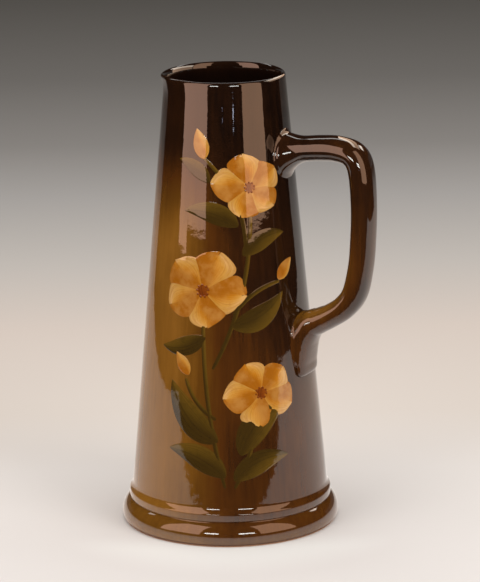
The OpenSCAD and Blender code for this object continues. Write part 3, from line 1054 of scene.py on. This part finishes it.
@dataclass
class PaintedSpray:
    """The painted spray in raised slip: blossoms, their middles, buds, leaves and stems.

    Every row starts with the turn of its middle from the middle of the spray in degrees, its
    height as a share of the jug's, and its lean to the right in degrees. Then come its size as a
    share, and a blossom's roundness or a blade's bend. A stroke's colour follows its seed.
    """

    form: ThrownForm
    blossom_d: float = 46 * MM
    bud_len: float = 17 * MM
    bud_w: float = 9 * MM
    middle_d: float = 9 * MM
    leaf_len: float = 44 * MM
    leaf_w: float = 17 * MM
    stem_w: float = 2.6 * MM
    stand: float = 0.35 * MM
    leaf_stand: float = 0.75
    stem_stand: float = 0.48
    root: float = 0.30 * MM
    back: float = 0.05 * MM
    shoulder: float = 0.5
    rib_depth: float = 0.22
    rib_width: float = 0.10
    end_share: float = 0.05
    petals: int = 5
    petal_start: float = 0.02
    petal_half: float = 0.247
    petal_fullness: Row = (1.42, 0.66)
    phase_step: float = 2.4
    size_sway: Row = (0.05, 2.0)
    way_sway: Row = (4.0, 3.0)
    side_sway: Row = (0.07, 9.0)
    notch: float = 0.08
    ripple: Row = (0.03, 7.0)
    crease: Row = (0.16, 10.0)
    petal_lifts: Row = (0.86, 1.00)
    petal_end_share: float = 0.04
    leaf_fullness: Row = (0.8, 0.8)
    stem_fullness: Row = (1.0, 0.12)
    dabs: int = 9
    dab_ring: float = 0.36
    dab_size: float = 0.17
    middle_stand: float = 1.15
    dab_stand: float = 1.7
    dab_shoulder: float = 0.6
    paleness: float = 0.7
    pale_from: float = 0.33
    petal_spread: float = 0.66
    petal_seed: Row = (0.37, 0.11)
    bud_seeds: Row = (0.30, 0.10, 0.20)
    middle_seed: float = 0.5
    leaf_seed: float = 0.29
    stem_seed: float = 0.23
    end_turn: float = 0.04
    edge_slack: float = 1e-9
    rows: int = 34
    sides: int = 40
    blossoms: tuple[Row, ...] = (
        (19, 0.776, 24, 0.84, 0.92), (-18, 0.555, -12, 1.00, 0.94), (21, 0.331, 10, 0.92, 0.90))
    buds: tuple[Row, ...] = (
        (-22, 0.870, -16, 1.00), (-32, 0.394, -34, 0.86), (47, 0.591, 48, 0.90))
    leaves: tuple[Row, ...] = (
        (-23, 0.291, -41, 0.97, -0.10), (24, 0.256, 46, 0.98, -0.12), (22, 0.512, 63, 0.80, 0.12),
        (30, 0.650, 69, 0.64, -0.12), (-33, 0.441, -106, 0.64, -0.10),
        (-13, 0.709, -75, 0.70, 0.13), (-21, 0.177, -67, 0.82, 0.12),
        (20, 0.165, 70, 0.78, -0.12), (-28, 0.811, -58, 0.50, 0.10))
    stems: tuple[Row, ...] = (
        (10.5, 0.220, 17, 0.197, 0.06), (-9.4, 0.329, -6.6, 0.408, -0.04),
        (2.6, 0.567, 13.4, 0.372, 0.07), (-2, 0.736, -23, 0.231, 0.12),
        (22, 0.535, 60, 0.126, -0.12), (-18.6, 0.319, -39, 0.110, -0.10))

    def grid(self) -> tuple[Array, Array]:
        """Shares along a stroke, ring by ring, and turns round its section.

        Returns:
            A column of shares that crowds towards both ends, and a row of turns.
        """
        along = 0.5 - 0.5 * np.cos(np.linspace(self.end_turn, math.pi - self.end_turn, self.rows))
        turn = np.linspace(0.0, 2.0 * math.pi, self.sides, endpoint=False)
        return along[:, None], turn[None, :]

    def lens(self, turn: Array, stand: Array | float) -> Array:
        """Height of a stroke's section over the wall.

        The section is a flat lens: it is full in the middle, falls off in a round shoulder to
        its edge under the surface, and has a flat back.

        Args:
            turn: Turns round the section.
            stand: How far its middle stands out.

        Returns:
            One height for each turn.
        """
        full = np.maximum(np.sin(turn), 0.0) ** self.shoulder
        back = np.minimum(np.sin(turn), 0.0)
        return -self.root + (stand + self.root) * full + self.back * back

    @staticmethod
    def ends(along: Array, share: float) -> Array:
        """Rises as a root from 0 at both ends of a stroke to 1 within a share of its length."""
        return np.minimum(1.0, np.minimum(along, 1.0 - along) / share) ** 0.5

    def laid(self, row: Row, right: Array, up: Array, height: Array) -> Array:
        """Lays a flat stroke on the wall.

        Its plane is leant to the right and set against the wall at the row's place. A point goes
        straight back to the wall, and then stands out along the wall's own normal.

        Args:
            row: Turn, height share and lean of the stroke's middle.
            right: Distance of each point to the right of that middle, before the lean.
            up: Distance of each point above it.
            height: How far each point stands over the wall.

        Returns:
            The points, with 3 as the last axis.
        """
        lean = math.radians(row[2])
        aside = right * math.cos(lean) + up * math.sin(lean)
        z = row[1] * self.form.height + up * math.cos(lean) - right * math.sin(lean)
        radius = self.form.wall_r(z)
        turn = math.radians(SPRAY_TURN + row[0]) + np.arcsin(np.clip(aside / radius, -1.0, 1.0))
        out = self.form.wall_out
        reach = radius + height * out[0]
        return np.stack([reach * np.cos(turn), reach * np.sin(turn), z + height * out[1]], axis=-1)

    def blade(self, row: Row, size: float, wide: float, bend: float, fullness: Row,
              stand: float) -> Array:
        """Rings of a leaf, bud or stem, from its root up to its tip.

        The middle line bends to the right as a parabola. Half the width is a sine of the way
        along, whose two powers in fullness set where it is widest and how full it is.

        Args:
            row: Turn, height share and lean of its middle.
            size: Its length.
            wide: Its width.
            bend: Its bend as a share of the length.
            fullness: The two powers.
            stand: How far it stands out.

        Returns:
            Rings, points and 3.
        """
        along, turn = self.grid()
        across = np.cos(turn)
        half = wide / 2 * np.sin(np.pi * along ** fullness[0]) ** fullness[1]
        slope = 4.0 * bend * (1.0 - 2.0 * along)
        square = 1.0 / np.sqrt(1.0 + slope ** 2)
        right = 4.0 * bend * size * along * (1.0 - along) + half * across * square
        up = size * (along - 0.5) - half * across * square * slope
        rib = 1.0 - self.rib_depth * np.exp(-(across / self.rib_width) ** 2)
        height = self.lens(turn, stand * rib * self.ends(along, self.end_share))
        return self.laid(row, right, up, height)

    def petal(self, row: Row, index: int) -> Array:
        """Rings of one petal, from the middle of its blossom out to its notched tip.

        Half the width is a sine of the way out, widest past the middle, and the tip's middle is
        drawn back by a squared cosine across it. Sines of the way across make a soft ripple at
        the tip and creases, and each petal's own phase sways its size, sides and direction. The
        two numbers of each of these waves are its strength and how many times as fast it runs.

        Args:
            row: Turn, height share, lean, size share and roundness of the blossom.
            index: Which petal it is.

        Returns:
            Rings, points and 3.
        """
        along, turn = self.grid()
        across = np.cos(turn)
        phase = self.phase_step * index + row[0]
        sway, pace = self.size_sway
        size = self.blossom_d * row[3] * (1.0 + sway * math.sin(pace * phase))
        inner, full = self.petal_fullness
        half = self.petal_half * size * np.sin(np.pi * along ** inner) ** full
        sway, pace = self.side_sway
        half = half * (1.0 + sway * np.sin(pace * along + phase) * across)
        notch = self.notch * np.cos(np.pi * across / 2.0) ** 2 * along ** 3
        sway, pace = self.ripple
        ripple = sway * np.sin(pace * across + phase) * along ** 4
        reach = 0.5 - self.petal_start
        out = size * (self.petal_start + reach * along * (1.0 - notch + ripple))
        aside = half * across
        step = 360.0 / self.petals
        sway, pace = self.way_sway
        way = math.radians(90.0 - step * (index + 0.5) + sway * math.sin(pace * phase))
        right = out * math.cos(way) + aside * math.sin(way)
        up = row[4] * (out * math.sin(way) - aside * math.cos(way))
        sway, pace = self.crease
        crease = 1.0 - sway * np.cos(pace * across + phase) * along
        lift = self.petal_lifts[index % 2]
        ends = self.ends(along, self.petal_end_share)
        height = self.lens(turn, self.stand * crease * lift * ends)
        return self.laid(row, right, up, height)

    def dot(self, row: Row, right: float, up: float, size: float, stand: float) -> Array:
        """Rings of a round dab of slip, a lens whose half width is a half circle's.

        Args:
            row: Turn, height share and lean of the blossom that it is on.
            right: Its distance to the right of the blossom's middle.
            up: Its distance above it.
            size: Its diameter.
            stand: How far its middle stands out.

        Returns:
            Rings, points and 3.
        """
        along, turn = self.grid()
        way = 2.0 * along - 1.0
        half = np.sqrt(1.0 - way ** 2)
        height = self.lens(turn, stand)
        front = (height + self.root) * half ** self.dab_shoulder - self.root
        height = np.where(np.sin(turn) > 0, front, height)
        return self.laid(
            row, right + size / 2 * half * np.cos(turn), up + size / 2 * way, height)

    def piece(self, name: str, strokes: list[Array], seeds: list[float]) -> bpy.types.Object:
        """Makes one piece of strokes.

        Args:
            name: Name of the piece.
            strokes: The rings of each stroke.
            seeds: For each stroke, the value of its own that its colour follows.

        Returns:
            The new object.
        """
        rings = np.stack(strokes)
        along, turn = self.grid()
        flat = np.stack([np.cos(turn) + 0.0 * along, along + 0.0 * turn], axis=-1)
        across = np.broadcast_to(flat, (*rings.shape[:-1], 2))
        own = np.broadcast_to(np.array(seeds)[:, None, None], rings.shape[:-1])
        out = self.form.wall_out
        level = rings[..., :2] / np.linalg.norm(rings[..., :2], axis=-1)[..., None]
        wall = np.concatenate([level * out[0], 0.0 * level[..., :1] + out[1]], axis=-1)
        facing = wall * np.where(np.sin(turn) > -self.edge_slack, 1.0, -1.0)[..., None]
        return ring_piece(name, rings, Ends.POLES, across, {"stroke": own}, facing)

    def blossom_piece(self) -> bpy.types.Object:
        """All petals and buds.

        Returns:
            The new object.
        """
        petals = [self.petal(row, k) for row in self.blossoms for k in range(self.petals)]
        buds = [
            self.blade(row, self.bud_len * row[3], self.bud_w * row[3], 0.0,
                       self.leaf_fullness, self.stand)
            for row in self.buds]
        pale = [self.paleness * (row[1] - self.pale_from)
                for row in self.blossoms for _ in range(self.petals)]
        step, start = self.petal_seed
        seeds = [
            self.petal_spread * ((step * k + start) % 1.0) + pale[k] for k in range(len(petals))]
        return self.piece("slip_blossoms", petals + buds, seeds + list(self.bud_seeds))

    def middle_piece(self) -> bpy.types.Object:
        """The middle of each blossom: a round dab with a ring of small dabs on it.

        Returns:
            The new object.
        """
        strokes = []
        for row in self.blossoms:
            size = self.middle_d * row[3]
            ring = self.dab_ring * size
            strokes.append(self.dot(row, 0.0, 0.0, size, self.stand * self.middle_stand))
            for way in np.radians(np.arange(self.dabs) * 360.0 / self.dabs):
                strokes.append(self.dot(
                    row, ring * math.cos(way), ring * math.sin(way), self.dab_size * size,
                    self.stand * self.dab_stand))
        return self.piece("slip_blossom_middles", strokes, [self.middle_seed] * len(strokes))

    def leaf_piece(self) -> bpy.types.Object:
        """All leaves.

        Returns:
            The new object.
        """
        strokes = [
            self.blade(row, self.leaf_len * row[3], self.leaf_w * row[3], row[4],
                       self.leaf_fullness, self.leaf_stand * self.stand)
            for row in self.leaves]
        seeds = [(self.leaf_seed * k) % 1.0 for k in range(len(strokes))]
        return self.piece("slip_leaves", strokes, seeds)

    def stem_piece(self) -> bpy.types.Object:
        """All stems.

        Returns:
            The new object.
        """
        strokes = [
            self.blade(row, self.form.height * row[3], self.stem_w, row[4],
                       self.stem_fullness, self.stem_stand * self.stand)
            for row in self.stems]
        seeds = [(self.stem_seed * k) % 1.0 for k in range(len(strokes))]
        return self.piece("slip_stems", strokes, seeds)


@dataclass
class Studio:
    """The pale table, the soft light and the camera.

    Places are given as seen by the camera: to the right of the jug, away past it and up. The
    camera stands a turn round from the front of the frame. A card is given by the two ends of its
    lower edge, the height of its upper edge and its glow.
    """

    camera_turn: float = 25.0
    camera_back: float = 1801.5 * MM
    camera_up: float = 598.7 * MM
    yaw: float = 0.0038
    pitch: float = 0.2546
    roll: float = -0.0123
    lens: float = 206.85
    sensor: float = 36.0
    clip_end: float = 50.0
    table_half: float = 8.0
    table_front: float = -0.080
    table_spread: float = 0.21
    torn_size: float = 0.028
    torn_depth: float = 0.150
    paper_left: float = 0.580
    paper_right: float = 0.760
    flare_left: float = 1.19
    flare_right: float = 1.62
    # Painted reflection: reflections see the paper this many times brighter than the camera does,
    # most of all close to the jug.
    mirrored_gain: float = 1.2
    near_reflection_gain: float = 1.7
    # Painted light: colour of a lighter patch of paper just in front of the foot, then the reach and
    # front limits of that patch.
    painted_light_paper: Row = (0.745, 0.715, 0.680)
    paper_run: Row = (0.5, 0.1)
    painted_light_reach: Row = (0.07, 0.11)
    painted_light_front: Row = (0.035, 0.065)
    gain_reach: Row = (0.07, 0.15)
    paper_stops: Stops = (
        (0.00, (0.652, 0.610, 0.586)),
        (0.14, (0.672, 0.622, 0.587)),
        (0.20, (0.629, 0.560, 0.505)),
        (0.30, (0.580, 0.503, 0.450)),
        (0.39, (0.474, 0.437, 0.405)),
        (0.50, (0.350, 0.330, 0.315)),
        (0.60, (0.235, 0.220, 0.207)),
        (0.75, (0.155, 0.145, 0.135)),
        (1.00, (0.095, 0.088, 0.080)),
    )
    sky_stops: Stops = (
        (0.00, (0.75, 0.70, 0.65)),
        (0.45, (0.30, 0.29, 0.28)),
        (0.52, (0.10, 0.10, 0.095)),
        (1.00, (0.05, 0.05, 0.05)),
    )
    sky_top: float = 0.20
    room: Row = (0.010, 0.008, 0.007, 1.0)
    light: Row = (1.0, 0.98, 0.95, 1.0)
    light_strength: float = 0.55
    lamp_aim: float = 0.12
    lamps: tuple[tuple[str, Row, float, float], ...] = (
        ("overhead", (0.0, 0.0, 2.0), 2.2, 26.0),
        ("left_fill", (-1.1, -1.1, 0.7), 0.9, 9.0),
        ("right_fill", (1.1, -1.1, 0.7), 0.9, 15.0),
    )
    cards: tuple[tuple[str, Row, Row, float, Row], ...] = (
        ("left_box", (-0.708, -0.165, 0.126), (-0.390, -0.622, 0.129), 1.30, (3.6, 2.15, 1.58)),
        ("left_box_low", (-0.708, -0.165, 0.098), (-0.605, -0.313, 0.104), 0.13, (3.6, 2.15, 1.58)),
        ("right_box", (0.370, -0.637, 0.132), (0.690, -0.245, 0.132), 1.30, (2.9, 1.7, 1.08)),
        ("back_strip", (-1.2, 0.75, 1.00), (1.0, 0.75, 1.00), 1.25, (3.0, 2.9, 2.8)),
        ("back_lamp", (0.739, 0.946, 0.78), (0.983, 0.688, 0.78), 1.00, (6.5, 5.6, 4.8)),
        ("left_lamp", (-0.44, -0.84, 0.355), (-0.22, -0.96, 0.355), 0.41, (22.0, 22.0, 21.0)),
        ("left_lamp_low", (-0.44, -0.84, 0.30), (-0.22, -0.96, 0.30), 0.33, (22.0, 22.0, 21.0)),
        ("left_line", (-0.093, -0.93, 0.2205), (-0.077, -0.93, 0.2205), 0.227, (3.0, 3.1, 4.2)),
        ("right_lamp", (0.15, -0.98, 0.355), (0.42, -0.90, 0.355), 0.41, (22.0, 22.0, 21.0)),
        ("right_lamp_low", (0.15, -0.98, 0.30), (0.42, -0.90, 0.30), 0.33, (22.0, 22.0, 21.0)),
        ("right_line", (0.209, -0.915, 0.2145), (0.235, -0.908, 0.2145), 0.228, (6.0, 6.4, 8.0)),
        ("rim_card", (0.112, -0.020, 0.258), (0.070, 0.086, 0.258), 0.290, (2.6, 1.7, 1.15)),
        ("rim_card_high", (0.112, -0.020, 0.290), (0.070, 0.086, 0.290), 0.328, (6.5, 5.4, 4.4)),
        ("flag", (-0.0045, 0.010, 0.2515), (0.0045, 0.010, 0.2515), 0.2575, (0.0, 0.0, 0.0)),
    )

    def spot(self, right: float, away: float, up: float) -> tuple[float, float, float]:
        """Turns a place as seen by the camera into the frame's coordinates.

        Args:
            right: Distance to the right of the jug.
            away: Distance past it.
            up: Height over the table.

        Returns:
            The place in the frame.
        """
        turn = math.radians(self.camera_turn)
        return (right * math.cos(turn) - away * math.sin(turn),
                right * math.sin(turn) + away * math.cos(turn), up)

    def camera(self) -> None:
        """Sets up the camera: it looks along its pitch and yaw, and rolls about that line."""
        yaw = self.yaw - math.radians(self.camera_turn)
        ahead = np.array([
            math.sin(yaw) * math.cos(self.pitch), math.cos(yaw) * math.cos(self.pitch),
            -math.sin(self.pitch)])
        level = np.array([math.cos(yaw), -math.sin(yaw), 0.0])
        above = np.cross(level, ahead)
        right = math.cos(self.roll) * level + math.sin(self.roll) * above
        top = math.cos(self.roll) * above - math.sin(self.roll) * level
        axes = np.stack([right, top, -ahead], axis=1)
        data = bpy.data.cameras.new("camera")
        data.lens = self.lens
        data.sensor_width = self.sensor
        data.clip_end = self.clip_end
        camera = linked("camera", data)
        camera.location = self.spot(0.0, -self.camera_back, self.camera_up)
        camera.rotation_euler = (
            math.atan2(axes[2, 1], axes[2, 2]), -math.asin(axes[2, 0]),
            math.atan2(axes[1, 0], axes[0, 0]))
        bpy.context.scene.camera = camera

    def in_sight(self, sheet: NodeSheet, spot: object, front: float, table: bool,
                 ) -> bpy.types.NodeSocket:
        """Tells where reflections see the pale paper, and not the dark room round it.

        They see it behind a torn front edge that comes nearer to the sides, between its two side
        edges and, further back, between the edges of the backdrop, each on a line from the jug.

        Args:
            sheet: Sheet of the material.
            spot: Place on the table, or direction into the surroundings.
            front: How far away the middle of the front edge is.
            table: Whether it is the table, whose side edges and torn front edge count.

        Returns:
            1 where they see it and 0 elsewhere.
        """
        right = sheet.along(spot, self.spot(1.0, 0.0, 0.0))
        away = sheet.along(spot, self.spot(0.0, 1.0, 0.0))
        aside = sheet.math("ABSOLUTE", right)
        on_right = sheet.math("GREATER_THAN", right, 0.0)
        flare = sheet.math(
            "MULTIPLY_ADD", on_right, self.flare_right - self.flare_left, self.flare_left)
        side = sheet.math("MULTIPLY", away, flare)
        if table:
            half = sheet.math(
                "MULTIPLY_ADD", on_right, self.paper_right - self.paper_left, self.paper_left)
            side = sheet.math("MAXIMUM", side, half)
        between = sheet.math("LESS_THAN", aside, side)
        if table:
            torn = sheet.noise(spot, 1.0 / self.torn_size, detail=4.0, rough=0.7)
            away = sheet.math("MULTIPLY_ADD", torn, self.torn_depth, away)
            away = sheet.math("MULTIPLY_ADD", aside, self.table_spread, away)
        return sheet.math("MULTIPLY", between, sheet.math("GREATER_THAN", away, front))

    def table(self) -> None:
        """Lays the paper that the jug stands on.

        It is pale near the jug and greyer far off. A lighter patch just in front of the foot is
        painted light, and reflections see the paper brighter than the camera does, a painted
        reflection. Past its edges, reflections see a dark room.
        """
        half = self.table_half
        corners = [(-half, -half, 0.0), (half, -half, 0.0), (half, half, 0.0), (-half, half, 0.0)]
        table = linked("table", flat_mesh("table", corners))
        material, sheet = new_material("table_paper")
        spot = sheet.place()
        away = sheet.along(spot, self.spot(0.0, 1.0, 0.0))
        colour = sheet.ramp(sheet.math("MULTIPLY_ADD", away, *self.paper_run), self.paper_stops)
        glossy = sheet.add("LightPath").outputs["Is Glossy Ray"]
        reach = sheet.add("VectorMath", {0: spot}, operation="LENGTH").outputs["Value"]
        # Painted light: a lighter patch of paper just in front of the foot, where the jug's shadow
        # falls.
        front = sheet.rise(sheet.math("MULTIPLY", away, -1.0), *self.painted_light_front)
        close = sheet.math("SUBTRACT", 1.0, sheet.rise(reach, *self.painted_light_reach))
        near = sheet.math("MULTIPLY", front, close)
        colour = sheet.mix(near, colour, (*self.painted_light_paper, 1.0))
        # Painted reflection: reflections see the paper brighter than the camera does, most of all
        # near the jug.
        far = sheet.rise(reach, *self.gain_reach)
        gain = sheet.math("MULTIPLY_ADD", far, self.mirrored_gain - self.near_reflection_gain, self.near_reflection_gain)
        lit = sheet.add("VectorMath", {0: colour, "Scale": gain}, operation="SCALE")
        colour = sheet.mix(glossy, colour, lit.outputs["Vector"])
        paper = sheet.add("BsdfDiffuse", {"Color": colour})
        room = sheet.add("BsdfDiffuse", {"Color": self.room})
        unseen = sheet.math(
            "SUBTRACT", 1.0, self.in_sight(sheet, spot, self.table_front, True))
        hidden = sheet.math("MULTIPLY", unseen, glossy)
        shader = sheet.add("MixShader", {
            0: hidden, 1: paper.outputs["BSDF"], 2: room.outputs["BSDF"]})
        sheet.add("OutputMaterial", {"Surface": shader.outputs["Shader"]})
        dress(table, material)

    def world(self) -> None:
        """Sets the surroundings.

        The camera sees a soft grey backdrop, reflections see its lower part between its edges and
        a dark room elsewhere, and everything else gets even light.
        """
        world = bpy.data.worlds.new("studio")
        world.use_nodes = True
        bpy.context.scene.world = world
        sheet = NodeSheet(world.node_tree)
        way = sheet.add("TexCoord").outputs["Generated"]
        height = sheet.add("SeparateXYZ", {"Vector": way}).outputs["Z"]
        colour = sheet.ramp(sheet.math("MULTIPLY_ADD", height, 0.5, 0.5), self.sky_stops)
        path = sheet.add("LightPath")
        low = sheet.math("LESS_THAN", height, self.sky_top)
        lit = sheet.math("MULTIPLY", low, self.in_sight(sheet, way, 0.0, False))
        unlit = sheet.math("SUBTRACT", 1.0, lit)
        dark = sheet.math("MULTIPLY", unlit, path.outputs["Is Glossy Ray"])
        colour = sheet.mix(dark, colour, self.room)
        seen = sheet.math("MAXIMUM", path.outputs["Is Camera Ray"], path.outputs["Is Glossy Ray"])
        seen = sheet.math("MAXIMUM", seen, path.outputs["Is Transmission Ray"])
        backdrop = sheet.add("Background", {"Color": colour, "Strength": 1.0})
        light = sheet.add("Background", {"Color": self.light, "Strength": self.light_strength})
        shader = sheet.add("MixShader", {
            0: seen, 1: light.outputs["Background"], 2: backdrop.outputs["Background"]})
        sheet.add("OutputWorld", {"Surface": shader.outputs["Shader"]})

    def lamp(self, name: str, place: Row, size: float, power: float) -> None:
        """Hangs a soft square lamp that looks at the jug and shows in no reflection.

        Args:
            name: Its name.
            place: Its place as seen by the camera.
            size: Its side.
            power: Its power in watts.
        """
        data = bpy.data.lights.new(name, "AREA")
        data.size = size
        data.energy = power
        lamp = linked(name, data)
        spot = np.array(self.spot(*place))
        back = spot - np.array([0.0, 0.0, self.lamp_aim])
        lamp.location = spot
        tilt = math.acos(back[2] / np.linalg.norm(back))
        lamp.rotation_euler = (tilt, 0.0, math.atan2(back[1], back[0]) + math.pi / 2)
        lamp.visible_glossy = False
        lamp.visible_camera = False

    def card(self, name: str, left: Row, right: Row, high: float, glow: Row) -> None:
        """Stands an upright glowing card, which shows in reflections alone.

        Args:
            name: Its name.
            left: The left end of its lower edge, as seen by the camera.
            right: The right end of it.
            high: Height of its upper edge.
            glow: Its colour times its brightness.
        """
        corners = [self.spot(*left), self.spot(*right),
                   self.spot(*right[:2], high), self.spot(*left[:2], high)]
        card = linked(name, flat_mesh(name, corners))
        for ray in ("camera", "diffuse", "transmission", "volume_scatter", "shadow"):
            setattr(card, "visible_" + ray, False)
        material, sheet = new_material(name)
        glowing = sheet.add("Emission", {"Color": (*glow, 1.0), "Strength": 1.0})
        sheet.add("OutputMaterial", {"Surface": glowing.outputs["Emission"]})
        dress(card, material)

    def build(self) -> None:
        """Sets up the whole studio."""
        self.camera()
        self.table()
        self.world()
        for row in self.lamps:
            self.lamp(*row)
        for row in self.cards:
            self.card(*row)
        bpy.context.scene.view_settings.view_transform = "Standard"


@dataclass
class Jug:
    """The whole jug: its skins, its handle, its painted spray and their finishes."""

    form: ThrownForm = field(default_factory=ThrownForm)

    def seat(self, piece: bpy.types.Object, finish: bpy.types.Material, slot: str, *nodes: str,
             ) -> None:
        """Dresses a piece and seats it in the frame.

        Args:
            piece: The piece.
            finish: Its material.
            slot: The record's slot for its finish; not used.
            nodes: The frame's nodes that it stands for.
        """
        dress(piece, finish)
        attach(piece, BODY)
        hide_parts(*nodes)
        LOG.info("%s: %d faces, for %s", piece.name, len(piece.data.polygons), ", ".join(nodes))

    def build(self) -> None:
        """Makes every piece, the clay first and then the coats on it."""
        clay = BareClay().material()
        outside = ShadedGlaze("shaded_glaze").material()
        inside = ShadedGlaze("lining_glaze", streak_share=0.03, cloud_share=0.04).material()
        blossom = SlipPaint(
            "blossom_paint",
            stops=(
                (0.00, (0.29, 0.088, 0.005)),
                (0.35, (0.42, 0.150, 0.010)),
                (0.65, (0.50, 0.238, 0.038)),
                (1.00, (0.60, 0.335, 0.130)),
            ),
            fold=(0.30, 0.100, 0.007), edge=(0.24, 0.080, 0.007), stroke_share=0.44,
            tint=(0.40, 0.205, 0.040), tint_share=0.60,
            dab=(0.57, 0.310, 0.085), dab_share=0.32).material()
        middle = SlipPaint(
            "middle_paint",
            stops=((0.0, (0.15, 0.030, 0.004)), (1.0, (0.26, 0.066, 0.006))),
            fold=(0.07, 0.015, 0.003), edge=(0.06, 0.014, 0.003)).material()
        leaf = SlipPaint(
            "leaf_paint",
            stops=(
                (0.00, (0.040, 0.021, 0.0036)),
                (0.50, (0.082, 0.044, 0.0056)),
                (1.00, (0.130, 0.066, 0.0080)),
            ),
            fold=(0.030, 0.016, 0.0034), edge=(0.045, 0.023, 0.0040)).material()
        thrown = ThrownJug(self.form)
        self.seat(thrown.clay(), clay, "clay", "body")
        self.seat(thrown.outside(), outside, "outside_glaze", "outside_glaze")
        self.seat(thrown.inside(), inside, "inside_glaze", "inside_glaze")
        strap = LoopHandle(self.form)
        self.seat(strap.clay(), clay, "clay", "handle", "upper_luting", "lower_luting")
        self.seat(strap.glaze(), outside, "outside_glaze", "handle_glaze")
        spray = PaintedSpray(self.form)
        self.seat(spray.stem_piece(), leaf, "leaf_slip", "stem_slip")
        self.seat(spray.leaf_piece(), leaf, "leaf_slip", "leaf_slip")
        self.seat(spray.blossom_piece(), blossom, "blossom_slip", "blossom_slip")
        self.seat(spray.middle_piece(), middle, "middle_slip", "blossom_middle_slip")


def main() -> None:
    """Builds the jug and then the studio round it."""
    logging.basicConfig(level=logging.INFO, format="%(message)s")
    Jug().build()
    Studio().build()


if __name__ == "__main__":
    main()
